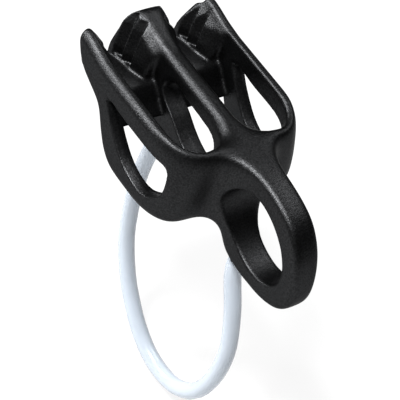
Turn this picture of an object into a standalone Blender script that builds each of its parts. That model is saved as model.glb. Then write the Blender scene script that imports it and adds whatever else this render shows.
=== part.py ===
"""Guide mode belay device: a forged light-alloy body with two rope slots, ribbed friction
channels, lightening windows and an anchor eye, and a plastic coated keeper cable.

Metres, +Z up. The origin is the centre of the anchor eye, whose axis is X. +Y runs from the
eye to the ribbed end, and the rope slots run through the body along Z.
"""
import math

import bmesh
import bpy
from mathutils import Matrix

MM = 0.001

# Across the device
SLOT_WIDTH = 12.3 * MM
MIDDLE_PLATE = 5.0 * MM
SIDE_PLATE = 3.2 * MM
EYE_THICKNESS = 8.1 * MM

# Along the device, behind the centre of the eye
REAR = 53.2 * MM
SLOT_FRONT = 15.2 * MM
SLOT_END = 10.0 * MM
FRONT_WALL = 3.0 * MM
NECK_FILLET = ((3.8, 0.7), (2.4, 1.8), (1.2, 3.4), (0.4, 5.4), (0.0, 8.0))
SHOULDERS = (
    (-100 * MM, 0), (-3.6 * MM, 0), (-2.2 * MM, 0.2 * MM), (-1.2 * MM, 0.6 * MM),
    (-0.4 * MM, 1.2 * MM), (0.5 * MM, 2.2 * MM), (100 * MM, 2.2 * MM))
SADDLE_FRONT = 39.9 * MM

# Heights above the centre of the eye
TOP = 11.9 * MM
HORN_RISE = 3.4 * MM
SIDE_HORN_RISE = 2.3 * MM
SADDLE_TOP = 4.7 * MM
BELLY_DEPTH = 7.9 * MM

# Tops of the plates, rounded about a crest along the middle of each: how far out and down a
# point lies, in half thicknesses, and where the crests rise towards the horns, as shares
CREST_FALL = ((0, 0), (0.4, 0.08), (0.72, 0.28), (0.92, 0.54), (1.15, 0.9), (1.8, 1.3))
CREST_RISE = (
    (-32 * MM, 0, 0), (-12 * MM, 0.04, 0.08), (-7.5 * MM, 0.3, 0.42), (-4.4 * MM, 0.78, 0.84),
    (-1.8 * MM, 1.15, 1.1), (-0.7 * MM, 1.25, 1.0), (0.4 * MM, 1.25, 0.6), (8 * MM, 1.25, -0.8))

# Anchor eye, and the metal around it at angles from +Y, in degrees
EYE_LENGTH = 19.8 * MM
EYE_HEIGHT = 13.8 * MM
EYE_TILT = 18
EYE_WALL = (
    (85, 4.8 * MM), (115, 4.8 * MM), (135, 4.8 * MM), (157, 4.3 * MM), (178, 4.3 * MM),
    (195, 5.4 * MM), (208, 6.8 * MM), (220, 7.5 * MM), (232, 7.1 * MM), (246, 6.8 * MM),
    (262, 6.6 * MM), (282, 6.8 * MM), (298, 7.0 * MM), (311, 6.4 * MM), (324, 5.0 * MM))

# Friction channels
CHANNEL_GAP = 2.5 * MM
RIBS = 2
RIB_START = 51.5 * MM
RIB_FACE = (1.6 * MM, 1.45 * MM)
RIB_BACK = (0.95 * MM, 1.3 * MM)
RIB_LEAN = 0.28
RIB_LEDGE = 0.25 * MM
CHANNEL_FLARE = (
    (-3 * MM, 0), (0, 0), (4 * MM, 1.0 * MM), (7 * MM, 2.1 * MM), (9 * MM, 3.5 * MM),
    (10.5 * MM, 5.2 * MM), (14 * MM, 6.5 * MM))

# Keeper cable: a wire in a plastic sheath, bent in a loop below the body
SHEATH_DIAMETER = 3.9 * MM
SHEATH_BORE = 2.3 * MM
WIRE_DIAMETER = 1.6 * MM
FERRULE_DIAMETER = 2.8 * MM
FERRULE_LENGTH = 5.0 * MM
CLEARANCE = 0.3 * MM
REAR_END = (37.9 * MM, -6.25 * MM)
REAR_RISE = (0.0, 1.0)
FRONT_END = (4.5 * MM, -15.15 * MM)
FRONT_RISE = (0.2, 0.98)
LOOP = (
    (38.3, -16.5), (38.7, -22.9), (38.2, -30.7), (36.7, -39.5), (34.9, -44.9), (32.5, -49.6),
    (29.7, -53.8), (26.3, -57.5), (22.6, -60.7), (18.1, -63.2), (14.3, -64.2), (10.3, -64.2),
    (5.4, -62.8), (0.6, -58.4), (-2.2, -52.5), (-3.5, -46), (-3.7, -40.3), (-3.2, -35.5),
    (-1.6, -30.2), (0.5, -25.1))
LOOP_STEPS = 2
TUBE_SIDES = 12

# Forged skin
GRID = 0.5 * MM
FORGED_PASSES = 7
CUT_PASSES = 7
SKIN_FACES = 11000
ARC_STEPS = 18
AIR = 0.6 * MM

HALF_WIDTH = MIDDLE_PLATE / 2 + SLOT_WIDTH + SIDE_PLATE
SLOT_CENTRE = MIDDLE_PLATE / 2 + SLOT_WIDTH / 2
FAR = 0.1


def clear_scene():
    for item in list(bpy.data.objects):
        bpy.data.objects.remove(item)


def material(name, colour, roughness, metallic):
    made = bpy.data.materials.new(name)
    made.use_nodes = True
    shader = made.node_tree.nodes["Principled BSDF"]
    shader.inputs["Base Color"].default_value = (*colour, 1.0)
    shader.inputs["Roughness"].default_value = roughness
    shader.inputs["Metallic"].default_value = metallic
    return made


def add_object(name, bm, finish=None):
    """An object of the finished mesh, or a cutter when it has no finish."""
    bmesh.ops.recalc_face_normals(bm, faces=bm.faces)
    mesh = bpy.data.meshes.new(name)
    bm.to_mesh(mesh)
    bm.free()
    item = bpy.data.objects.new(name, mesh)
    bpy.context.scene.collection.objects.link(item)
    if finish:
        mesh.materials.append(finish)
    else:
        item.hide_render = True
        item.display_type = "WIRE"
    return item


def curve_through(points, steps, closed=False):
    """Points of a Catmull-Rom curve, with steps to each span."""
    count = len(points)
    made = []
    for i in range(count if closed else count - 1):
        near = [points[(i + k) % count] if closed else points[min(max(i + k, 0), count - 1)]
                for k in (-1, 0, 1, 2)]
        for step in range(steps):
            t = step / steps
            made.append(tuple(
                0.5 * (2 * b + (c - a) * t + (2 * a - 5 * b + 4 * c - d) * t ** 2
                       + (3 * b - a - 3 * c + d) * t ** 3)
                for a, b, c, d in zip(*near)))
    if not closed:
        made.append(tuple(points[-1]))
    return made


def skin(bm, rows, capped=True):
    """Faces over rows of vertices, each row a closed ring."""
    for low, high in zip(rows, rows[1:]):
        for i in range(len(low)):
            j = (i + 1) % len(low)
            bm.faces.new((low[i], low[j], high[j], high[i]))
    if capped:
        bm.faces.new(rows[0][::-1])
        bm.faces.new(rows[-1])


def loft(rings):
    """A closed solid through rings that have equally many points."""
    bm = bmesh.new()
    skin(bm, [[bm.verts.new(point) for point in points] for points in rings])
    return bm


def across(outline, x_from=-FAR, x_to=FAR):
    """A prism of a side outline of (y, z) points, along X."""
    return loft([[(x, y, z) for y, z in outline] for x in (x_from, x_to)])


def boolean(item, operation, tool):
    step = item.modifiers.new(operation.lower() + "_" + tool.name, "BOOLEAN")
    step.operation = operation
    step.solver = "EXACT"
    step.object = tool


def mirror(item):
    step = item.modifiers.new("other_side", "MIRROR")
    step.merge_threshold = 0.00005


def round_edges(item, grid, passes):
    """Rounds every edge, as forging and tumbling do."""
    remesh = item.modifiers.new("grid", "REMESH")
    remesh.mode = "VOXEL"
    remesh.voxel_size = grid
    smooth = item.modifiers.new("tumble", "SMOOTH")
    smooth.factor = 0.5
    smooth.iterations = passes


def eye_point(degrees, wall=0.0):
    """A point at an angle from +Y, on the eye's ellipse or outside it by a wall."""
    turn = math.radians(degrees + EYE_TILT * -1)
    reach = EYE_LENGTH * EYE_HEIGHT / 2 / math.hypot(
        EYE_HEIGHT * math.cos(turn), EYE_LENGTH * math.sin(turn))
    angle = math.radians(degrees)
    return ((reach + wall) * math.cos(angle), (reach + wall) * math.sin(angle))


def side_outline():
    """The body between its side plates, seen along X, anticlockwise from the top."""
    ring = [eye_point(degrees, wall) for degrees, wall in EYE_WALL]
    belly = [(11.4, -6.9), (13.8, -7.6), (20, -7.9), (27, -7.4), (33, -6.1), (38, -3.8),
             (42, -1.6), (46.5, 0.6), (50.8, 2.2)]
    horn = [(0, -8.6), (0.2, -5), (0.3, -1.5), (0, 1.9), (-1.8, 3.6), (-4.4, 2.5), (-7.5, 0.9)]
    low = [(y * MM, z / 7.9 * BELLY_DEPTH) for y, z in belly]
    high = [(REAR + y * MM, TOP + z / 3.4 * HORN_RISE) for y, z in horn]
    flat = [(REAR - 12 * MM, TOP), (REAR / 2, TOP), (8 * MM, TOP)]
    return curve_through(ring + low + high + flat, 4, closed=True)


def front_arc(half_width, length, squareness, centre_y, share=1.0):
    """The rounded front end of a slot in plan, from its +X side round towards its -X side."""
    made = []
    for i in range(int(ARC_STEPS * share) + 1):
        angle = math.pi * i / ARC_STEPS
        c = abs(math.cos(angle)) ** (2 / squareness) * (1 if angle < math.pi / 2 else -1)
        s = math.sin(angle) ** (2 / squareness)
        made.append((half_width * c, centre_y - length * s))
    return made


def plan_outline(inset):
    """The body seen from above, with the front of its slots drawn in by an inset."""
    half = EYE_THICKNESS / 2
    wall = SIDE_PLATE - 0.8 * inset
    flare = [(SLOT_CENTRE + x, y) for x, y in front_arc(
        SLOT_WIDTH / 2 + wall, SLOT_END + FRONT_WALL - inset, 2.1, SLOT_FRONT + SLOT_END, 0.5)]
    front = flare[-1][1]
    neck = [(half + x * MM, front - y * MM) for x, y in NECK_FILLET] + [(half, -EYE_LENGTH)]
    side = [(HALF_WIDTH, REAR + 5 * MM)] + flare + neck
    return side + [(-x, y) for x, y in side[::-1]]


def lean_out(s, y, up, lean):
    """Where a point of a channel's wall at the saddle lies higher up."""
    share = min(1, 4 * (SLOT_WIDTH / 2 - s) / SLOT_WIDTH)
    return (min(s + lean * share, SLOT_WIDTH / 2), y + max(up, 0) * RIB_LEAN * share)


def channel_rings():
    """A friction channel with smooth walls, at rising heights, over the whole slot."""
    half = SLOT_WIDTH / 2
    rings = []
    for up, lean in CHANNEL_FLARE:
        walls = [(CHANNEL_GAP / 2, REAR + 6 * MM), (CHANNEL_GAP / 2, RIB_START)]
        s, y = walls[-1]
        for _ in range(RIBS - 1):
            s += RIB_FACE[0] - RIB_BACK[0]
            y -= RIB_FACE[1] + RIB_BACK[1]
            walls.append((s, y))
        s += RIB_FACE[0]
        y -= RIB_FACE[1]
        walls.append((s, y))
        walls += [(s + (half - s) * t ** 1.3, y + (SADDLE_FRONT - 2 * MM - y) * t)
                  for t in (0.15, 0.35, 0.55, 0.75, 1.0)]
        leaned = [lean_out(s, y, up, lean) for s, y in walls]
        front = front_arc(half, SLOT_END, 2.5, SLOT_FRONT + SLOT_END)
        plan = leaned + front + [(-s, y) for s, y in leaned[::-1]]
        rings.append([(SLOT_CENTRE + s, y, SADDLE_TOP + up) for s, y in plan])
    return rings


def slot_rings():
    """A rope slot, below and above the body."""
    half = SLOT_WIDTH / 2
    plan = [(half, SADDLE_FRONT + 2 * MM)]
    plan += front_arc(half, SLOT_END, 2.5, SLOT_FRONT + SLOT_END)
    plan += [(-half, SADDLE_FRONT + 2 * MM)]
    return [[(SLOT_CENTRE + s, y, z) for s, y in plan] for z in (-FAR, FAR)]


def crown_rings():
    """The space over the rounded tops of the plates, from the neck to the horns."""
    side_crest = HALF_WIDTH - SIDE_PLATE / 2
    rows = [(-REAR, 0, 2 * MM, 2 * MM), (REAR - 41 * MM, 0, 2 * MM, 2 * MM)]
    rows += [(REAR + along, 1, middle * HORN_RISE, side * SIDE_HORN_RISE)
             for along, middle, side in CREST_RISE]
    rings = []
    for y, fall, middle, side in rows:
        half = [(2 * HALF_WIDTH, side)]
        half += [(side_crest - SIDE_PLATE / 2 * out, side - fall * SIDE_PLATE / 2 * down)
                 for out, down in CREST_FALL]
        half.append((SLOT_CENTRE + CHANNEL_GAP / 2, half[-1][1] - fall * SIDE_PLATE / 2))
        crest = [(MIDDLE_PLATE / 2 * out, middle - fall * MIDDLE_PLATE / 2 * down)
                 for out, down in CREST_FALL]
        half += [(SLOT_CENTRE - CHANNEL_GAP / 2, crest[-1][1])] + crest[::-1]
        profile = [(x, TOP + rise) for x, rise in half]
        profile += [(-x, z) for x, z in profile[-2::-1]]
        profile += [(-2 * HALF_WIDTH, FAR), (2 * HALF_WIDTH, FAR)]
        rings.append([(x, y, z) for x, z in profile])
    return rings


def above_saddle():
    """The side outline of the space over the saddle and in front of the end wall."""
    saddle = [(REAR + 8 * MM, SADDLE_TOP - 3 * MM), (REAR + 1 * MM, SADDLE_TOP - 1.6 * MM),
              (REAR - 2.5 * MM, SADDLE_TOP - 0.3 * MM), (REAR - 7 * MM, SADDLE_TOP),
              (REAR - 11 * MM, SADDLE_TOP - 0.2 * MM), (SADDLE_FRONT, SADDLE_TOP - 1.0 * MM),
              (SADDLE_FRONT - 2.2 * MM, SADDLE_TOP - 3.4 * MM)]
    wall = [(SADDLE_FRONT - 4.9 * MM, -0.8 * MM), (SADDLE_FRONT - 5.6 * MM, -FAR)]
    return curve_through(saddle, 4) + wall + [(0, -FAR), (0, FAR), (REAR + 8 * MM, FAR)]


def under_saddle():
    """The side outline of the space under the saddle."""
    roof = [(33, -1.2), (35.2, -0.9), (38.5, -0.9), (44, 0.6), (50, 2.3), (60, 4.2)]
    points = [(y * MM, z * MM) for y, z in roof]
    return points + [(points[-1][0], -FAR), (points[0][0], -FAR)]


def side_window():
    points = [(38.3, 7.7), (30, 7.6), (20.5, 7.7), (17.6, 7.5), (16.3, 6.0), (15.7, 2.8),
              (15.9, 0.4), (17.3, -1.3), (20.4, -3.2), (24.5, -3.2), (29, -1.7), (33.6, 1.8),
              (36.6, 5)]
    return [(y * MM, z * MM) for y, z in points]


def middle_window():
    points = [(39.2, 5.0), (38.4, 7.4), (36.4, 8.6), (33, 8.5), (26, 8.2), (20.5, 7.6),
              (18.3, 5.0), (18.2, 1.2), (20.4, -2.2), (24.5, -3.2), (29, -1.9), (33.6, 0.8),
              (37.4, 2.8)]
    return curve_through([(y * MM, z * MM) for y, z in points], 3, closed=True)


def side_relief():
    """What the side plates lack behind and below, seen along X."""
    edge = [(52.4, 19), (52.0, 15.5), (50.6, 11.0), (48.2, 7.4), (44.6, 5.6), (40.6, 3.8),
            (38.0, 0), (35.2, -3.6), (31.6, -6.0), (27, -7.6), (22, -8.6)]
    outer = [(22, -20), (70, -20), (70, 19)]
    return [(y * MM, z * MM) for y, z in curve_through(edge, 3) + outer]


def rib_grooves():
    """The grooves that leave ribs on both walls of a channel, as a comb on each."""
    bm = bmesh.new()
    s, y = CHANNEL_GAP / 2, RIB_START
    comb = [(s - AIR, y + AIR / 2), (s, y)]
    for _ in range(RIBS):
        deep = (s + RIB_FACE[0], y - RIB_FACE[1])
        s, y = deep[0] - RIB_BACK[0], deep[1] - RIB_BACK[1]
        comb += [deep, (s, y)]
    comb.append((s - AIR, y))
    most = SLOT_CENTRE - 0.4 * MIDDLE_PLATE - max(s for s, y in comb)
    levels = [(RIB_LEDGE, 0)] + [(up, min(lean, most)) for up, lean in CHANNEL_FLARE if lean > 0]
    for side in (1, -1):
        skin(bm, [[bm.verts.new((SLOT_CENTRE + side * (s + lean), y + up * RIB_LEAN,
                                 SADDLE_TOP + up)) for s, y in comb] for up, lean in levels])
    return bm


def hole(end, rise):
    """A blind hole for a ferrule, up from the cable's end."""
    bm = bmesh.new()
    depth = FERRULE_LENGTH + 2 * CLEARANCE
    seat = SHEATH_DIAMETER / 2 + CLEARANCE
    bmesh.ops.create_cone(bm, cap_ends=True, segments=24, radius1=FERRULE_DIAMETER / 2 + CLEARANCE,
                          radius2=FERRULE_DIAMETER / 2 + CLEARANCE, depth=2 * depth)
    place(bm, end, rise, seat)
    return bm


def place(bm, end, rise, along):
    """Moves a shape from the origin, with +Z turned to the rise, to a cable's end."""
    tilt = Matrix.Rotation(-math.atan2(rise[0], rise[1]), 4, "X")
    at = Matrix.Translation((0, end[0] + rise[0] * along, end[1] + rise[1] * along))
    bmesh.ops.transform(bm, matrix=at @ tilt, verts=bm.verts)


def thin_out(item, faces):
    """Brings a mesh down to a number of clean triangles, alike on both sides."""
    item.modifiers.new("weld", "WELD").merge_threshold = GRID / 25
    item.modifiers.new("triangles", "TRIANGULATE")
    graph = bpy.context.evaluated_depsgraph_get()
    count = len(item.evaluated_get(graph).data.polygons)
    step = item.modifiers.new("thin_out", "DECIMATE")
    step.ratio = min(1, faces / count)
    step.use_symmetry = True
    step.symmetry_axis = "X"


def make_body(finish):
    body = add_object("body", across(side_outline()), finish)
    plan = [[(x, y, TOP + up) for x, y in plan_outline(inset)] for up, inset in SHOULDERS]
    boolean(body, "INTERSECT", add_object("plan_cutter", loft(plan)))
    relief = add_object("side_relief_cutter", across(
        side_relief(), HALF_WIDTH - SIDE_PLATE - 0.4 * MM, FAR))
    mirror(relief)
    boolean(body, "DIFFERENCE", relief)
    boolean(body, "DIFFERENCE", add_object("crown_cutter", loft(crown_rings())))
    round_edges(body, GRID * 1.2, FORGED_PASSES)

    limit = add_object("over_saddle_cutter", across(above_saddle()))
    slot = add_object("slot_cutter", loft(slot_rings()))
    mirror(slot)
    boolean(slot, "INTERSECT", limit)
    eye = add_object("eye_cutter", across([eye_point(360 * i / 48) for i in range(48)]))
    for tool in (slot, eye):
        boolean(body, "DIFFERENCE", tool)
    round_edges(body, GRID, CUT_PASSES)

    channel = add_object("channel_cutter", loft(channel_rings()))
    mirror(channel)
    boolean(channel, "INTERSECT", limit)
    windows = add_object("side_window_cutter", across(side_window(), SLOT_CENTRE, FAR))
    mirror(windows)
    middle = add_object("middle_window_cutter", across(middle_window(), -SLOT_CENTRE, SLOT_CENTRE))
    under = add_object("under_saddle_cutter", across(
        under_saddle(), MIDDLE_PLATE / 2, HALF_WIDTH - SIDE_PLATE))
    mirror(under)
    for tool in (channel, under, windows, middle):
        boolean(body, "DIFFERENCE", tool)
    round_edges(body, GRID * 0.8, CUT_PASSES)

    grooves = add_object("rib_cutter", rib_grooves())
    mirror(grooves)
    boolean(body, "DIFFERENCE", grooves)
    for name, end, rise in (("rear", REAR_END, REAR_RISE), ("front", FRONT_END, FRONT_RISE)):
        boolean(body, "DIFFERENCE", add_object(name + "_hole_cutter", hole(end, rise)))
    thin_out(body, SKIN_FACES)


def make_ferrule(name, end, rise, finish):
    """A crimped sleeve in its blind hole, with its edges broken."""
    bm = bmesh.new()
    bmesh.ops.create_cone(bm, cap_ends=True, segments=20, radius1=FERRULE_DIAMETER / 2,
                          radius2=FERRULE_DIAMETER / 2, depth=FERRULE_LENGTH)
    rims = [edge for edge in bm.edges if abs(edge.verts[0].co.z - edge.verts[1].co.z) < GRID / 10]
    bmesh.ops.bevel(bm, geom=rims, offset=FERRULE_DIAMETER / 10, segments=2, affect="EDGES")
    place(bm, end, rise, SHEATH_DIAMETER / 2 + CLEARANCE + FERRULE_LENGTH / 2)
    add_object(name, bm, finish)


def loop_route():
    """The cable's route of (y, z) points, from its rear end to its front end."""
    rear, front = [[(end[0] - rise[0] * along, end[1] - rise[1] * along)
                    for along in (0, SHEATH_DIAMETER)]
                   for end, rise in ((REAR_END, REAR_RISE), (FRONT_END, FRONT_RISE))]
    return curve_through(rear + [(y * MM, z * MM) for y, z in LOOP] + front[::-1], LOOP_STEPS)


def make_sheath(finish):
    """A hollow tube along the route, with ends rounded about the points it swings on."""
    route = loop_route()
    outer = SHEATH_DIAMETER / 2
    inner = SHEATH_BORE / 2
    ways = [direction(route, i) for i in range(len(route))]
    stations = [(route[i], ways[i], outer) for i in range(len(route))]
    for turn in (30, 50):
        angle = math.radians(turn)
        for first, sign in ((True, -1), (False, 1)):
            point, way = (route[0], ways[0]) if first else (route[-1], ways[-1])
            reach = outer * math.sin(angle) * sign
            moved = (point[0] + way[0] * reach, point[1] + way[1] * reach)
            station = (moved, way, outer * math.cos(angle))
            stations.insert(0 if first else len(stations), station)
    bm = bmesh.new()
    outside = [ring(bm, point, way, radius) for point, way, radius in stations]
    inside = [ring(bm, point, way, inner) for point, way, radius in stations]
    for rows in (outside, inside):
        skin(bm, rows, capped=False)
    for a, b in ((outside[0], inside[0]), (outside[-1], inside[-1])):
        skin(bm, [a, b], capped=False)
    add_object("cable_sheath", bm, finish)


def direction(route, i):
    """The unit direction of a route of (y, z) points at one of them."""
    a, b = route[max(i - 1, 0)], route[min(i + 1, len(route) - 1)]
    length = math.dist(a, b)
    return ((b[0] - a[0]) / length, (b[1] - a[1]) / length)


def ring(bm, point, way, radius):
    """A ring of vertices round a point, square to a direction in the YZ plane."""
    made = []
    for k in range(TUBE_SIDES):
        angle = 2 * math.pi * k / TUBE_SIDES
        across_x, up = radius * math.cos(angle), radius * math.sin(angle)
        made.append(bm.verts.new((across_x, point[0] - way[1] * up, point[1] + way[0] * up)))
    return made


def make_wire(finish):
    curve = bpy.data.curves.new("cable_wire", "CURVE")
    curve.dimensions = "3D"
    curve.bevel_depth = WIRE_DIAMETER / 2
    curve.bevel_resolution = 2
    curve.use_fill_caps = True
    route = loop_route()
    line = curve.splines.new("POLY")
    line.points.add(len(route) - 1)
    for point, (y, z) in zip(line.points, route):
        point.co = (0, y, z, 1)
    curve.materials.append(finish)
    bpy.context.scene.collection.objects.link(bpy.data.objects.new("cable_wire", curve))


def main():
    clear_scene()
    anodised = material("black_anodised_alloy", (0.028, 0.030, 0.034), 0.42, 0.6)
    plastic = material("clear_cable_plastic", (0.56, 0.63, 0.72), 0.22, 0.0)
    steel = material("cable_steel", (0.55, 0.56, 0.57), 0.3, 1.0)
    make_body(anodised)
    make_ferrule("rear_ferrule", REAR_END, REAR_RISE, steel)
    make_ferrule("front_ferrule", FRONT_END, FRONT_RISE, steel)
    make_sheath(plastic)
    make_wire(steel)


main()
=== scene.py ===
"""The looks of a guide mode belay device: its forged black body, the milky plastic over its
keeper cable, the finishes, the light and the camera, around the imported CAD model.

Metres, +Z up, in the frame of the CAD model: the origin is the centre of the anchor eye, +Y
runs to the ribbed end, and X is across the device. Outlines seen from the side are (y, z)
points in millimetres.
"""
import math

import bmesh
import bpy
from mathutils import Matrix, Vector


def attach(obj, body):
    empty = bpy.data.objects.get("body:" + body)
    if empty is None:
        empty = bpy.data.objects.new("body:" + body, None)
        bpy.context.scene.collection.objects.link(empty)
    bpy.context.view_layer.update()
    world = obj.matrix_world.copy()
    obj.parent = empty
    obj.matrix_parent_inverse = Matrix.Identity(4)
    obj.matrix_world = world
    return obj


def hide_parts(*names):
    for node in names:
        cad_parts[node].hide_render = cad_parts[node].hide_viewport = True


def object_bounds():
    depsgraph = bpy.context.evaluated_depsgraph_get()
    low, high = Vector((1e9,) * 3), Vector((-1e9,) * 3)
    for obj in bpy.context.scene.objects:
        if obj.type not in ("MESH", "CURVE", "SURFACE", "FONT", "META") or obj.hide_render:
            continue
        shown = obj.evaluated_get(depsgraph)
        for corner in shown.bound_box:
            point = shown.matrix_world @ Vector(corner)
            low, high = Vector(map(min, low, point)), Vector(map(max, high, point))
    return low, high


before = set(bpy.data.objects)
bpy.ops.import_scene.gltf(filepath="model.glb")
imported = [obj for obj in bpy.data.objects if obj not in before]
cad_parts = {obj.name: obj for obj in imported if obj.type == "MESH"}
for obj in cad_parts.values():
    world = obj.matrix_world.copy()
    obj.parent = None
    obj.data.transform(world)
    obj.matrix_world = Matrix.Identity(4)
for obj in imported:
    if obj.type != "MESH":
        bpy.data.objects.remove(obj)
cad_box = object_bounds()

MM = 0.001

# The photograph's camera, and its focal length in pixels of the 400 pixel frame
CAMERA_PLACE = (-188.728 * MM, -132.159 * MM, 235.730 * MM)
CAMERA_RIGHT = (0.79346, -0.54563, 0.26966)
CAMERA_UP = (0.27165, 0.71397, 0.64533)
CAMERA_BACK = (-0.54464, -0.43879, 0.71472)
FOCAL_PIXELS = 1622
FRAME_PIXELS = 400
SENSOR_WIDTH = 36
NEAREST_SEEN = 10 * MM

# Across the device
SLOT_WIDTH = 12.3 * MM
MIDDLE_PLATE = 5.0 * MM
SIDE_PLATE = 3.2 * MM
EYE_THICKNESS = 7.0 * MM
HALF_WIDTH = MIDDLE_PLATE / 2 + SLOT_WIDTH + SIDE_PLATE
SLOT_CENTRE = MIDDLE_PLATE / 2 + SLOT_WIDTH / 2
PLATE_CENTRE = HALF_WIDTH - SIDE_PLATE / 2

# Along the device, behind the centre of the eye
REAR = 53.2 * MM
SADDLE_FRONT = 40.7 * MM
SLOT_FRONT = 15.6 * MM
SLOT_END = 10.0 * MM
SLOT_SQUARENESS = 2.5
FRONT_WALL = 3.0 * MM
PLAN_REAR = REAR + 5 * MM
CHANNEL_REAR = REAR + 6 * MM
SADDLE_LAP = 2 * MM

# Heights above the centre of the eye
TOP = 12.6 * MM
SADDLE_TOP = 4.7 * MM

# The body seen from above. At each height over its top: how far the wall in front of the slots
# is drawn in, and how square it is. The wall thins as it is drawn in, by this share, and a fillet
# leads it into the ring, by distances out from the ring's side and in front of the wall.
SHOULDERS = (
    (-100, 4.0, 2.1), (-22, 4.0, 2.1), (-20.6, 1.6, 2.6), (-19, 0.2, 3.0), (-17.4, -0.6, 4.2),
    (-15, -0.8, 4.4), (-12, -0.8, 3.8), (-8, -0.7, 2.9), (-5, -0.4, 2.4), (-3.2, -0.1, 2.2),
    (-2.2, 0.2, 2.1), (-1.2, 0.6, 2.1), (-0.4, 1.2, 2.1), (0.5, 2.2, 2.1), (100, 2.2, 2.1))
SHOULDER_THINNING = 0.8
NECK_FILLET = ((3.9, 0.6), (2.5, 1.7), (1.4, 3.3), (0.6, 5.3), (0.2, 7.6), (0.0, 10.5))

# The body seen from the side: the ring round the eye, the belly, the horns by their distance
# behind the rear edge, and the places along the flat top
RING_OUTLINE = (
    (1.0, 12.1), (-4.9, 10.6), (-8.4, 8.4), (-11.3, 4.8), (-13.2, 0.4), (-14.1, -4.0),
    (-13.9, -7.5), (-12.3, -10.2), (-9.4, -11.9), (-6.0, -12.8), (-2.0, -13.1), (2.9, -13.0),
    (6.3, -12.2), (8.6, -10.2), (9.9, -7.6))
BELLY = (
    (11.5, -6.0), (14.4, -7.0), (20, -8.3), (27, -8.2), (33, -6.9), (38, -4.6), (42, -2.2),
    (46.5, 0.3), (50.8, 2.1))
HORN = (
    (0, 3.3), (0.2, 6.9), (0.4, 10.4), (0.4, 13.2), (-0.9, 14.9), (-3.4, 14.6), (-6.8, 13.4))
FLAT_TOP = (REAR - 12 * MM, REAR / 2, 8 * MM)

# What the side plates lack behind and below: its upper edge, and how far it goes
RELIEF_EDGE = (
    (53.2, 19), (52.8, 14.8), (51.2, 10.8), (48.4, 7.3), (44.6, 5.4), (40.6, 3.4), (38.0, -0.6),
    (35.2, -4.4), (31.6, -6.9), (27, -8.5), (22, -9.5))
RELIEF_OUTSIDE = ((22, -20), (70, -20), (70, 19))
RELIEF_LAP = 0.4 * MM

# Tops of the plates: how far out from the middle of the middle plate, or in from a side
# plate's outer face, and how far down a point lies. Between the plates the crown dips.
MIDDLE_CROWN = ((0, 0), (0.8, 0.12), (1.5, 0.42), (2.1, 0.95), (2.5, 1.6), (3.0, 2.5), (4.5, 3.8))
SIDE_CROWN = (
    (-0.6, 2.8), (0.2, 1.7), (0.8, 0.9), (1.5, 0.35), (2.2, 0), (2.8, 0.12), (3.2, 0.5),
    (3.6, 1.3), (4.6, 2.3), (6.0, 3.8), (7.8, 5.8))
CROWN_DIP = 0.5

# The plates' tops along the device: how far behind the rear edge, how rounded they are, and the
# rises of the middle plate and of a side plate. The side plates lose their roundness last, from
# where the middle plate has one part in four. At the uncrowned places nothing is taken off.
CREST_RISE = (
    (-32, 1, 0, 0.1), (-12, 1, 0, 0.1), (-7.5, 0.7, 0.6, 0.6), (-4.4, 0.45, 1.6, 1.3),
    (-1.8, 0.3, 2.3, 1.7), (-0.7, 0.25, 2.4, 1.6), (0.4, 0.25, 2.3, 0.9), (8, 0.25, 2.3, -3.0))
UNCROWNED = (-REAR, REAR - 41 * MM)
UNCROWNED_SHAPE = (0, 2, 2)
SIDE_CROWN_HOLD = 4

# Anchor eye
EYE_LENGTH = 20.8 * MM
EYE_HEIGHT = 14.2 * MM
EYE_TILT = 30
EYE_CENTRE = (0.4 * MM, -0.6 * MM)

# The saddle seen from the side: by the distance behind the rear edge and behind the saddle's
# front, both with the height over its top, and the end wall below it
SADDLE_BACK = ((8, -3), (1, -1.6), (-2.5, -0.3), (-7, 0), (-11, -0.2))
SADDLE_LIP = ((0, -1.0), (-2.2, -3.4))
END_WALL_TOP = (SADDLE_FRONT - 4.9 * MM, -0.8 * MM)
END_WALL_FOOT = SADDLE_FRONT - 5.6 * MM
UNDER_SADDLE = ((33, -1.2), (35.2, -0.9), (38.5, -0.9), (44, 0.6), (50, 2.3), (60, 4.2))

# Friction channels. The flare is how far a channel's wall leans out at each height over the
# saddle. The lean fades out towards the slot, over the last one in four parts of its width. The
# curve joins the last rib to the slot.
CHANNEL_GAP = 2.5 * MM
LEAST_HALF_GAP = CHANNEL_GAP / 4
LEAN_FADE = 4
CHANNEL_FLARE = (
    (-3 * MM, 0), (0, 0), (2.0 * MM, 0.2 * MM), (4 * MM, 1.0 * MM), (7 * MM, 2.1 * MM),
    (9 * MM, 3.5 * MM), (10.5 * MM, 5.2 * MM), (14 * MM, 6.5 * MM))
CHANNEL_CURVE = 1.3
CHANNEL_CURVE_STEPS = (0.15, 0.35, 0.55, 0.75, 1.0)
RIBS = 2
RIB_START = 51.5 * MM
RIB_FACE = (1.6 * MM, 1.9 * MM)
RIB_BACK = (1.1 * MM, 0.85 * MM)
RIB_LEAN = 0.28
RIB_LEDGE = 0.25 * MM
RIB_WALL = 0.4 * MIDDLE_PLATE

# Windows, and a window's size at distances of so many thicknesses from the middle of a plate
SIDE_WINDOW = (
    (38.3, 7.7), (30, 7.6), (20.5, 7.7), (17.6, 7.5), (16.3, 6.0), (15.7, 2.8), (15.9, 0.4),
    (17.3, -1.3), (20.4, -3.2), (24.5, -3.2), (29, -1.7), (33.6, 1.8), (36.6, 5))
MIDDLE_WINDOW = (
    (39.2, 5.0), (38.4, 7.4), (36.4, 8.6), (33, 8.5), (26, 8.2), (20.5, 7.6), (18.3, 5.0),
    (18.2, 1.2), (20.4, -2.2), (24.5, -3.2), (29, -1.9), (33.6, 0.8), (37.4, 2.8))
WINDOW_DRAFT = ((-1.6, 1), (-0.5, 1), (0, 0.93), (0.5, 1), (1.6, 1))

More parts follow.
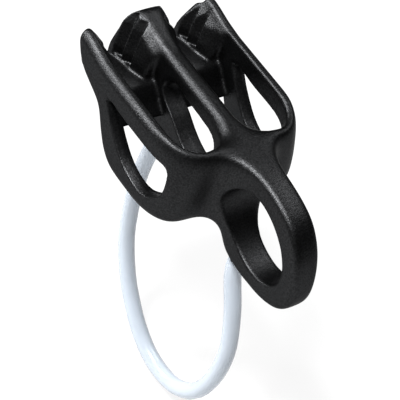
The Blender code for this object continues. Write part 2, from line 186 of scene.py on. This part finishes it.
# Keeper cable: a wire in a plastic sheath, bent in a loop below the body. The sheath's ends are
# rounded at these turns, in degrees.
SHEATH_DIAMETER = 3.9 * MM
SHEATH_BORE = 2.3 * MM
REAR_END = (37.9 * MM, -6.25 * MM)
REAR_RISE = (0.0, 1.0)
FRONT_END = (4.5 * MM, -15.15 * MM)
FRONT_RISE = (0.2, 0.98)
LOOP = (
    (38.3, -16.5), (38.7, -22.9), (38.2, -30.7), (36.7, -39.5), (34.9, -44.9), (32.5, -49.6),
    (29.7, -53.8), (26.3, -57.5), (22.6, -60.7), (18.1, -63.2), (14.3, -64.2), (10.3, -64.2),
    (5.4, -62.8), (0.6, -58.4), (-2.2, -52.5), (-3.5, -46), (-3.7, -40.3), (-3.2, -35.5),
    (-1.6, -30.2), (0.5, -25.1))
LOOP_STEPS = 2
TUBE_SIDES = 12
END_TURNS = (30, 50)

# Forged skin: grids, passes of rounding, where the further rounding of a part fades in, and the
# share of its faces that the skin keeps
GRID = 0.26 * MM
FORGED_GRID = GRID * 1.2
FINE_GRID = 0.2 * MM
FORGED_PASSES = 20
NECK_PASSES = 120
EYE_PASSES = 40
CHANNEL_PASSES = 80
RIM_PASSES = 22
CUT_PASSES = 5
RIB_PASSES = 2
TUMBLE_STRENGTH = 0.5
NECK_FADE = (21 * MM, 13 * MM)
CHANNEL_FADE_REAR = (47.5 * MM, 45.5 * MM)
CHANNEL_FADE_FRONT = (32 * MM, 35 * MM)
CHANNEL_FADE_TOP = (12.4 * MM, 11 * MM)
CHANNEL_FADE_LOW = (3.8 * MM, 5.4 * MM)
SKIN_SHARE = 0.3

# Steps of arcs and curves, and the reach of the shapes that cut others
ARC_STEPS = 36
OUTLINE_STEPS = 4
EDGE_STEPS = 3
WELD = 0.05 * MM
AIR = 0.6 * MM
FAR = 0.1

# Finishes: colours are linear, shades are shares of a colour, and noise is in grains per metre
ALLOY_BLACK = (0.0265, 0.0270, 0.0280)
ALLOY_SHADES = (0.7, 1.35)
ALLOY_ROUGHNESS = (0.37, 0.42)
ALLOY_EDGE = 0.5
ALLOY_GRAIN = 2900
ALLOY_CLOUDS = 160
GRAIN_ROUGHNESS = 0.7
GRAIN_SPAN = (0.38, 0.62)
GRAIN_DEPTH = 0.07 * MM
GRAIN_STRENGTH = 1.0
CABLE_MILK = (0.38, 0.42, 0.47)
CABLE_SHADES = (0.97, 1.03)
CABLE_ROUGHNESS = 0.22
CABLE_CLOUDS = 90
CABLE_RIPPLES = 300
RIPPLE_DEPTH = 0.02 * MM
RIPPLE_STRENGTH = 0.5
MILK_SHARE = 0.35
MILK_DEPTH = 1.2 * MM
CRIMP_GREY = (0.60, 0.61, 0.62)
CRIMP_ROUGHNESS = 0.3
WIRE_GREY = (0.55, 0.56, 0.57)
WIRE_ROUGHNESS = 0.28
METAL_SHADES = (0.8, 1)
METAL_MARKS = 2500
METAL_SPREAD = 0.12
NOISE_SPAN = (0.3, 0.7)

# Studio: what share of the floor is seen as white, and the lamps by name, place, the distance
# along the device of the point that each is aimed at, width and watts
FLOOR_WHITE = (0.93, 0.93, 0.93)
FLOOR_ROUGHNESS = 0.9
FLOOR_SEEN = 0.86
FLOOR_RADIUS = 1.5
FLOOR_DROP = 2 * MM
FLOOR_SIDES = 96
WORLD_LIGHT = 0.25
LAMPS = (
    ("key_lamp", (-0.33, 0.10, 0.66), 0.02, 0.14, 11.0),
    ("back_lamp", (-0.36, 0.52, 0.40), 0.0, 0.14, 5.0),
    ("top_lamp", (0.46, 0.10, 0.62), 0.02, 0.3, 1.8))


def add_object(name, bm):
    bmesh.ops.recalc_face_normals(bm, faces=bm.faces)
    mesh = bpy.data.meshes.new(name)
    bm.to_mesh(mesh)
    bm.free()
    item = bpy.data.objects.new(name, mesh)
    bpy.context.scene.collection.objects.link(item)
    return item


def metres(outline):
    """The points of an outline that is in millimetres."""
    return [(y * MM, z * MM) for y, z in outline]


def curve_through(points, steps, closed=False):
    """Points of a Catmull-Rom curve, with steps to each span."""
    count = len(points)
    made = []
    for i in range(count if closed else count - 1):
        near = [points[(i + k) % count] if closed else points[min(max(i + k, 0), count - 1)]
                for k in (-1, 0, 1, 2)]
        for step in range(steps):
            t = step / steps
            made.append(tuple(
                0.5 * (2 * b + (c - a) * t + (2 * a - 5 * b + 4 * c - d) * t ** 2
                       + (3 * b - a - 3 * c + d) * t ** 3)
                for a, b, c, d in zip(*near)))
    if not closed:
        made.append(tuple(points[-1]))
    return made


def skin(bm, rows, capped=True):
    """Faces over rows of vertices, each row a closed ring."""
    for low, high in zip(rows, rows[1:]):
        for i in range(len(low)):
            j = (i + 1) % len(low)
            bm.faces.new((low[i], low[j], high[j], high[i]))
    if capped:
        bm.faces.new(rows[0][::-1])
        bm.faces.new(rows[-1])


def loft(rings):
    """A closed solid through rings that have equally many points."""
    bm = bmesh.new()
    skin(bm, [[bm.verts.new(point) for point in points] for points in rings])
    return bm


def across(outline, x_from=-FAR, x_to=FAR):
    """A prism of a side outline of (y, z) points, along X."""
    return loft([[(x, y, z) for y, z in outline] for x in (x_from, x_to)])


def boolean(item, operation, tool):
    """Cuts an object with a tool, or holds it to one."""
    step = item.modifiers.new(operation.lower() + "_" + tool.name, "BOOLEAN")
    step.operation = operation
    step.solver = "EXACT"
    step.object = tool


def mirror(item):
    """Repeats an object on the other side of the device."""
    step = item.modifiers.new("other_side", "MIRROR")
    step.merge_threshold = WELD


def tumble(item, passes):
    """Smooths an object's surface, and returns the modifier that does."""
    smooth = item.modifiers.new("tumble", "SMOOTH")
    smooth.factor = TUMBLE_STRENGTH
    smooth.iterations = passes
    return smooth


def bake(item, *tools):
    """Applies an object's modifiers, and removes the tools that they used."""
    graph = bpy.context.evaluated_depsgraph_get()
    mesh = bpy.data.meshes.new_from_object(item.evaluated_get(graph))
    item.modifiers.clear()
    item.data = mesh
    for tool in tools:
        bpy.data.objects.remove(tool)


def cut(item, grid, passes, tools, spent=()):
    """Takes tools out of an object, and rounds every edge as forging and tumbling do."""
    for tool in tools:
        boolean(item, "DIFFERENCE", tool)
    remesh = item.modifiers.new("grid", "REMESH")
    remesh.mode = "VOXEL"
    remesh.voxel_size = grid
    tumble(item, passes)
    bake(item, *tools, *spent)


def round_more(item, passes, share_at):
    """Rounds one part of an object further, by a share for each place."""
    group = item.vertex_groups.new(name="rounded")
    for vertex in item.data.vertices:
        group.add([vertex.index], share_at(vertex.co), "REPLACE")
    tumble(item, passes).vertex_group = group.name
    bake(item)
    item.vertex_groups.clear()


def faded(value, none, full):
    """A share that runs from none at one value to all at another."""
    return min(max((value - none) / (full - none), 0), 1)


def neck_share(place):
    """The neck and the ring, in front of the slots."""
    return faded(place.y, *NECK_FADE)


def channel_share(place):
    """The smooth hollow of the channels, in front of the ribs."""
    return (faded(place.y, *CHANNEL_FADE_REAR) * faded(place.y, *CHANNEL_FADE_FRONT)
            * faded(place.z, *CHANNEL_FADE_TOP) * faded(place.z, *CHANNEL_FADE_LOW)
            * faded(abs(place.x), PLATE_CENTRE, HALF_WIDTH - SIDE_PLATE))


def eye_outline():
    """The eye's tilted ellipse, as (y, z) points."""
    tilt = math.radians(EYE_TILT)
    made = []
    for i in range(2 * ARC_STEPS):
        angle = math.pi * i / ARC_STEPS
        along, up = EYE_LENGTH / 2 * math.cos(angle), EYE_HEIGHT / 2 * math.sin(angle)
        made.append((EYE_CENTRE[0] + along * math.cos(tilt) - up * math.sin(tilt),
                     EYE_CENTRE[1] + along * math.sin(tilt) + up * math.cos(tilt)))
    return made


def side_outline():
    """The body between its side plates, seen along X, anticlockwise from the top."""
    horn = [(REAR + y * MM, z * MM) for y, z in HORN]
    flat = [(y, TOP) for y in FLAT_TOP]
    points = metres(RING_OUTLINE) + metres(BELLY) + horn + flat
    return curve_through(points, OUTLINE_STEPS, closed=True)


def front_arc(half_width, length, squareness, centre_y, share=1.0):
    """The rounded front end of a slot in plan, from its +X side round towards its -X side."""
    made = []
    for i in range(int(ARC_STEPS * share) + 1):
        angle = math.pi * i / ARC_STEPS
        c = abs(math.cos(angle)) ** (2 / squareness) * (1 if angle < math.pi / 2 else -1)
        s = math.sin(angle) ** (2 / squareness)
        made.append((half_width * c, centre_y - length * s))
    return made


def slot_front():
    """The front end of a rope slot in plan, across from the slot's middle."""
    return front_arc(SLOT_WIDTH / 2, SLOT_END, SLOT_SQUARENESS, SLOT_FRONT + SLOT_END)


def plan_outline(inset, squareness):
    """The body seen from above, with the front of its slots drawn in by an inset."""
    half = EYE_THICKNESS / 2
    wall = SIDE_PLATE - SHOULDER_THINNING * max(inset, 0)
    flare = [(SLOT_CENTRE + x, y) for x, y in front_arc(
        SLOT_WIDTH / 2 + wall, SLOT_END + FRONT_WALL - inset, squareness,
        SLOT_FRONT + SLOT_END, share=0.5)]
    front = flare[-1][1]
    neck = [(half + x * MM, front - y * MM) for x, y in NECK_FILLET]
    neck.append((half, -EYE_LENGTH))
    side = [(HALF_WIDTH, PLAN_REAR)] + flare + neck
    return side + [(-x, y) for x, y in side[::-1]]


def lean_out(s, y, up, lean):
    """Where a point of a channel's wall at the saddle lies higher up."""
    share = min(1, LEAN_FADE * (SLOT_WIDTH / 2 - s) / SLOT_WIDTH)
    wall = max(s + lean * share, LEAST_HALF_GAP)
    return (min(wall, SLOT_WIDTH / 2), y + max(up, 0) * RIB_LEAN * share)


def channel_walls():
    """A channel's wall over the saddle in plan, past the ribs' ridges to the slot."""
    half = SLOT_WIDTH / 2
    walls = [(CHANNEL_GAP / 2, CHANNEL_REAR), (CHANNEL_GAP / 2, RIB_START)]
    s, y = walls[-1]
    for _ in range(RIBS):
        s += RIB_FACE[0] - RIB_BACK[0]
        y -= RIB_FACE[1] + RIB_BACK[1]
        walls.append((s, y))
    return walls + [(s + (half - s) * t ** CHANNEL_CURVE, y + (SADDLE_FRONT - SADDLE_LAP - y) * t)
                    for t in CHANNEL_CURVE_STEPS]


def channel_rings():
    """A friction channel with smooth walls, at rising heights, over the whole slot."""
    walls = channel_walls()
    rings = []
    for up, lean in CHANNEL_FLARE:
        leaned = [lean_out(s, y, up, lean) for s, y in walls]
        plan = leaned + slot_front() + [(-s, y) for s, y in leaned[::-1]]
        rings.append([(SLOT_CENTRE + s, y, SADDLE_TOP + up) for s, y in plan])
    return rings


def slot_rings():
    """A rope slot, below and above the body."""
    half, rear = SLOT_WIDTH / 2, SADDLE_FRONT + SADDLE_LAP
    plan = [(half, rear)] + slot_front() + [(-half, rear)]
    return [[(SLOT_CENTRE + s, y, z) for s, y in plan] for z in (-FAR, FAR)]


def crown_profile(fall, middle, side):
    """The rounded tops of the plates, seen from behind, as half a row of (x, rise) points."""
    half = [(HALF_WIDTH - into * MM, side - min(1, SIDE_CROWN_HOLD * fall) * down)
            for into, down in SIDE_CROWN]
    half.insert(0, (2 * HALF_WIDTH, half[0][1]))
    crest = [(out * MM, middle - fall * down) for out, down in MIDDLE_CROWN]
    half.append((SLOT_CENTRE + CHANNEL_GAP / 2, half[-1][1] - fall * CROWN_DIP))
    half.append((SLOT_CENTRE - CHANNEL_GAP / 2, crest[-1][1]))
    return half + crest[::-1]


def crown_rings():
    """The space over the rounded tops of the plates, from the neck to the horns."""
    rows = [(y, UNCROWNED_SHAPE) for y in UNCROWNED]
    rows += [(REAR + along * MM, shape) for along, *shape in CREST_RISE]
    rings = []
    for y, shape in rows:
        profile = [(x, TOP + rise * MM) for x, rise in crown_profile(*shape)]
        profile += [(-x, z) for x, z in profile[-2::-1]]
        profile += [(-2 * HALF_WIDTH, FAR), (2 * HALF_WIDTH, FAR)]
        rings.append([(x, y, z) for x, z in profile])
    return rings


def above_saddle():
    """The side outline of the space over the saddle and in front of the end wall."""
    saddle = [(REAR + along * MM, SADDLE_TOP + up * MM) for along, up in SADDLE_BACK]
    saddle += [(SADDLE_FRONT + along * MM, SADDLE_TOP + up * MM) for along, up in SADDLE_LIP]
    wall = [END_WALL_TOP, (END_WALL_FOOT, -FAR)]
    outside = [(0, -FAR), (0, FAR), (saddle[0][0], FAR)]
    return curve_through(saddle, OUTLINE_STEPS) + wall + outside


def under_saddle():
    """The side outline of the space under the saddle."""
    points = metres(UNDER_SADDLE)
    return points + [(points[-1][0], -FAR), (points[0][0], -FAR)]


def drafted(window, middle_x, thickness):
    """A window through a plate, narrowest in the middle of the plate's thickness."""
    outline = curve_through(metres(window), EDGE_STEPS, closed=True)
    y_mid = sum(y for y, z in outline) / len(outline)
    z_mid = sum(z for y, z in outline) / len(outline)
    rings = []
    for out, share in WINDOW_DRAFT:
        rings.append([(middle_x + out * thickness, y_mid + share * (y - y_mid),
                       z_mid + share * (z - z_mid)) for y, z in outline])
    return loft(rings)


def side_relief():
    """What the side plates lack behind and below, seen along X."""
    return metres(curve_through(RELIEF_EDGE, EDGE_STEPS) + list(RELIEF_OUTSIDE))


def rib_grooves():
    """The grooves that leave ribs on both walls of a channel, as a comb on each."""
    bm = bmesh.new()
    s, y = CHANNEL_GAP / 2, RIB_START
    comb = [(s - AIR, y + AIR / 2), (s, y)]
    for _ in range(RIBS):
        deep = (s + RIB_FACE[0], y - RIB_FACE[1])
        s, y = deep[0] - RIB_BACK[0], deep[1] - RIB_BACK[1]
        comb += [deep, (s, y)]
    comb.append((s - AIR, y))
    most = SLOT_CENTRE - RIB_WALL - max(s for s, y in comb)
    levels = [(RIB_LEDGE, 0)] + [(up, min(lean, most)) for up, lean in CHANNEL_FLARE if lean > 0]
    for side in (1, -1):
        skin(bm, [[bm.verts.new((SLOT_CENTRE + side * (s + lean), y + up * RIB_LEAN,
                                 SADDLE_TOP + up)) for s, y in comb] for up, lean in levels])
    return bm


def loop_route():
    """The cable's route of (y, z) points, from its rear end to its front end."""
    rear, front = [[(end[0] - rise[0] * along, end[1] - rise[1] * along)
                    for along in (0, SHEATH_DIAMETER)]
                   for end, rise in ((REAR_END, REAR_RISE), (FRONT_END, FRONT_RISE))]
    return curve_through(rear + metres(LOOP) + front[::-1], LOOP_STEPS)


def direction(route, i):
    """The unit direction of a route of (y, z) points at one of them."""
    a, b = route[max(i - 1, 0)], route[min(i + 1, len(route) - 1)]
    length = math.dist(a, b)
    return ((b[0] - a[0]) / length, (b[1] - a[1]) / length)


def ring(bm, point, way, radius):
    """A ring of vertices round a point, square to a direction in the YZ plane."""
    made = []
    for k in range(TUBE_SIDES):
        angle = 2 * math.pi * k / TUBE_SIDES
        across_x, up = radius * math.cos(angle), radius * math.sin(angle)
        made.append(bm.verts.new((across_x, point[0] - way[1] * up, point[1] + way[0] * up)))
    return made


def sheath_stations(route):
    """Points, directions and radii along the sheath, with its ends rounded off."""
    outer = SHEATH_DIAMETER / 2
    ways = [direction(route, i) for i in range(len(route))]
    stations = [(point, way, outer) for point, way in zip(route, ways)]
    for turn in END_TURNS:
        angle = math.radians(turn)
        for first, sign in ((True, -1), (False, 1)):
            point, way = (route[0], ways[0]) if first else (route[-1], ways[-1])
            reach = outer * math.sin(angle) * sign
            moved = (point[0] + way[0] * reach, point[1] + way[1] * reach)
            station = (moved, way, outer * math.cos(angle))
            stations.insert(0 if first else len(stations), station)
    return stations


def make_sheath(route):
    """A hollow tube along the route, with ends rounded about the points it swings on."""
    stations = sheath_stations(route)
    bm = bmesh.new()
    outside = [ring(bm, point, way, radius) for point, way, radius in stations]
    inside = [ring(bm, point, way, SHEATH_BORE / 2) for point, way, radius in stations]
    for rows in (outside, inside):
        skin(bm, rows, capped=False)
    for a, b in ((outside[0], inside[0]), (outside[-1], inside[-1])):
        skin(bm, [a, b], capped=False)
    return add_object("cable_cover", bm)


def forged_shape():
    """The body as it leaves the forging dies, without its openings."""
    body = add_object("body_skin", across(side_outline()))
    plan = add_object("plan_tool", loft(
        [[(x, y, TOP + up * MM) for x, y in plan_outline(inset * MM, squareness)]
         for up, inset, squareness in SHOULDERS]))
    boolean(body, "INTERSECT", plan)
    relief = add_object("relief_tool", across(
        side_relief(), HALF_WIDTH - SIDE_PLATE - RELIEF_LAP, FAR))
    mirror(relief)
    crown = add_object("crown_tool", loft(crown_rings()))
    cut(body, FORGED_GRID, FORGED_PASSES, (relief, crown), (plan,))
    round_more(body, NECK_PASSES, neck_share)
    return body


def slot_tools():
    """A slot, a channel, and the space over the saddle that they are held to."""
    limit = add_object("over_saddle_tool", across(above_saddle()))
    slot = add_object("slot_tool", loft(slot_rings()))
    channel = add_object("channel_tool", loft(channel_rings()))
    for tool in (slot, channel):
        mirror(tool)
        boolean(tool, "INTERSECT", limit)
    return slot, channel, limit


def opening_tools():
    """The hollow under the saddle, and the windows through the side and middle plates."""
    windows = add_object("side_window_tool", drafted(SIDE_WINDOW, PLATE_CENTRE, SIDE_PLATE))
    middle = add_object("middle_window_tool", drafted(MIDDLE_WINDOW, 0, MIDDLE_PLATE))
    under = add_object("under_saddle_tool", across(
        under_saddle(), MIDDLE_PLATE / 2, HALF_WIDTH - SIDE_PLATE))
    for tool in (windows, under):
        mirror(tool)
    return under, windows, middle


def make_body():
    """The body's skin at a fine grid, in place of the plain solid."""
    body = forged_shape()
    slot, channel, limit = slot_tools()
    eye = add_object("eye_tool", across(eye_outline()))
    cut(body, GRID, RIM_PASSES, (slot, eye))
    round_more(body, EYE_PASSES, neck_share)
    cut(body, FINE_GRID, CUT_PASSES, (channel, *opening_tools()), (limit,))
    round_more(body, CHANNEL_PASSES, channel_share)

    grooves = add_object("rib_tool", rib_grooves())
    mirror(grooves)
    cut(body, FINE_GRID, RIB_PASSES, (grooves,))
    thin = body.modifiers.new("thin_out", "DECIMATE")
    thin.ratio = SKIN_SHARE
    bake(body)
    body.data.shade_smooth()
    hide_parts("body")
    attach(body, "device")
    return body


def nodes_of(name):
    """A new material, its node tree, and its Principled shader."""
    made = bpy.data.materials.new(name)
    made.use_nodes = True
    return made, made.node_tree, made.node_tree.nodes["Principled BSDF"]


def noise(tree, scale, detail=2.0, roughness=0.5):
    """The value of a noise texture over the object's own coordinates, in grains per metre."""
    place = tree.nodes.new("ShaderNodeTexCoord")
    made = tree.nodes.new("ShaderNodeTexNoise")
    made.inputs["Scale"].default_value = scale
    made.inputs["Detail"].default_value = detail
    made.inputs["Roughness"].default_value = roughness
    tree.links.new(place.outputs["Object"], made.inputs["Vector"])
    return made.outputs["Fac"]


def ranged(tree, source, span, to_span):
    """A value mapped from one range to another, and held inside it."""
    made = tree.nodes.new("ShaderNodeMapRange")
    for name, value in zip(("From Min", "From Max", "To Min", "To Max"), (*span, *to_span)):
        made.inputs[name].default_value = value
    tree.links.new(source, made.inputs["Value"])
    return made.outputs["Result"]


def bump(tree, shader, height, distance, strength):
    made = tree.nodes.new("ShaderNodeBump")
    made.inputs["Distance"].default_value = distance
    made.inputs["Strength"].default_value = strength
    tree.links.new(height, made.inputs["Height"])
    tree.links.new(made.outputs["Normal"], shader.inputs["Normal"])


def shaded(tree, shader, value, span, colour, shades):
    """Gives a shader a colour between two shades of itself, by a value's place in a span."""
    made = tree.nodes.new("ShaderNodeMix")
    made.data_type = "RGBA"
    for name, shade in zip(("A", "B"), shades):
        made.inputs[name].default_value = (*(shade * c for c in colour), 1)
    tree.links.new(ranged(tree, value, span, (0, 1)), made.inputs["Factor"])
    tree.links.new(made.outputs["Result"], shader.inputs["Base Color"])


def anodised_alloy():
    """Bead-blasted and black anodised: satin, with a fine grain that glints."""
    made, tree, shader = nodes_of("bead_blasted_black_alloy")
    shader.inputs["Metallic"].default_value = 1.0
    shader.inputs["Specular Tint"].default_value = (ALLOY_EDGE, ALLOY_EDGE, ALLOY_EDGE, 1)
    grain = noise(tree, ALLOY_GRAIN, roughness=GRAIN_ROUGHNESS)
    shaded(tree, shader, grain, GRAIN_SPAN, ALLOY_BLACK, ALLOY_SHADES)
    tree.links.new(ranged(tree, noise(tree, ALLOY_CLOUDS), NOISE_SPAN, ALLOY_ROUGHNESS),
                   shader.inputs["Roughness"])
    bump(tree, shader, grain, GRAIN_DEPTH, GRAIN_STRENGTH)
    return made


def milky_plastic():
    """Clear plastic over steel wire, seen as milky and pale blue."""
    made, tree, shader = nodes_of("milky_cable_plastic")
    shader.inputs["Roughness"].default_value = CABLE_ROUGHNESS
    shader.inputs["Subsurface Weight"].default_value = MILK_SHARE
    shader.inputs["Subsurface Radius"].default_value = (1.0, 1.0, 1.0)
    shader.inputs["Subsurface Scale"].default_value = MILK_DEPTH
    shaded(tree, shader, noise(tree, CABLE_CLOUDS), NOISE_SPAN, CABLE_MILK, CABLE_SHADES)
    ripple = noise(tree, CABLE_RIPPLES, detail=1.0)
    bump(tree, shader, ripple, RIPPLE_DEPTH, RIPPLE_STRENGTH)
    return made


def bright_metal(name, colour, roughness):
    """Plain metal with fine drawn marks."""
    made, tree, shader = nodes_of(name)
    shader.inputs["Metallic"].default_value = 1.0
    marks = noise(tree, METAL_MARKS)
    shaded(tree, shader, marks, NOISE_SPAN, colour, METAL_SHADES)
    tree.links.new(ranged(tree, marks, NOISE_SPAN, (roughness, roughness + METAL_SPREAD)),
                   shader.inputs["Roughness"])
    return made


def dress(item, finish):
    item.data.materials.clear()
    item.data.materials.append(finish)


def make_cable():
    """The plastic over the keeper cable, at its real length."""
    route = loop_route()
    cover = make_sheath(route)
    cover.data.shade_smooth()
    dress(cover, milky_plastic())
    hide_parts("cable_sheath")
    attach(cover, "keeper_loop")


def make_camera():
    lens = bpy.data.cameras.new("camera")
    lens.sensor_width = SENSOR_WIDTH
    lens.lens = FOCAL_PIXELS / FRAME_PIXELS * SENSOR_WIDTH
    lens.clip_start = NEAREST_SEEN
    camera = bpy.data.objects.new("camera", lens)
    turn = Matrix((CAMERA_RIGHT, CAMERA_UP, CAMERA_BACK)).transposed().to_4x4()
    camera.matrix_world = Matrix.Translation(CAMERA_PLACE) @ turn
    bpy.context.scene.collection.objects.link(camera)
    bpy.context.scene.camera = camera


def seen_directly(tree):
    """One for rays from the camera and for those in reflections, and nothing for others."""
    path = tree.nodes.new("ShaderNodeLightPath")
    seen = path.outputs["Is Camera Ray"]
    for ray in ("Is Glossy Ray", "Is Transmission Ray"):
        either = tree.nodes.new("ShaderNodeMath")
        either.operation = "MAXIMUM"
        tree.links.new(seen, either.inputs[0])
        tree.links.new(path.outputs[ray], either.inputs[1])
        seen = either.outputs[0]
    return seen


def make_floor():
    """A pale floor, nearly white to the camera, which keeps the object's shadow."""
    bm = bmesh.new()
    bmesh.ops.create_circle(bm, cap_ends=True, segments=FLOOR_SIDES, radius=FLOOR_RADIUS)
    floor = add_object("floor", bm)
    floor.location = (0, 0, cad_box[0][2] - FLOOR_DROP)
    made, tree, shader = nodes_of("pale_floor")
    shader.inputs["Base Color"].default_value = (*FLOOR_WHITE, 1)
    shader.inputs["Roughness"].default_value = FLOOR_ROUGHNESS
    white = tree.nodes.new("ShaderNodeEmission")
    both = tree.nodes.new("ShaderNodeMixShader")
    tree.links.new(ranged(tree, seen_directly(tree), (0, 1), (0, FLOOR_SEEN)), both.inputs["Fac"])
    tree.links.new(shader.outputs["BSDF"], both.inputs[1])
    tree.links.new(white.outputs["Emission"], both.inputs[2])
    tree.links.new(both.outputs["Shader"], tree.nodes["Material Output"].inputs["Surface"])
    dress(floor, made)


def make_world():
    """White where the camera and reflections look, and dimmer as a source of light."""
    world = bpy.data.worlds.new("studio")
    world.use_nodes = True
    bpy.context.scene.world = world
    tree = world.node_tree
    sky = tree.nodes["Background"]
    tree.links.new(ranged(tree, seen_directly(tree), (0, 1), (WORLD_LIGHT, 1.0)),
                   sky.inputs["Strength"])


def make_lamp(name, place, aim_y, width, power):
    """A square lamp, aimed at a point of the device's middle line."""
    lamp = bpy.data.lights.new(name, "AREA")
    lamp.size = width
    lamp.energy = power
    item = bpy.data.objects.new(name, lamp)
    item.location = place
    aim = Vector((0, aim_y, 0)) - Vector(place)
    item.rotation_euler = aim.to_track_quat("-Z", "Y").to_euler()
    bpy.context.scene.collection.objects.link(item)


def main():
    bpy.context.scene.view_settings.view_transform = "Standard"
    make_camera()
    make_cable()
    alloy = anodised_alloy()
    dress(make_body(), alloy)
    crimp = bright_metal("crimped_ferrule", CRIMP_GREY, CRIMP_ROUGHNESS)
    for name in ("rear_ferrule", "front_ferrule"):
        dress(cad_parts[name], crimp)
    dress(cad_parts["cable_wire"], bright_metal("wire_strands", WIRE_GREY, WIRE_ROUGHNESS))
    make_floor()
    make_world()
    for lamp in LAMPS:
        make_lamp(*lamp)


main()
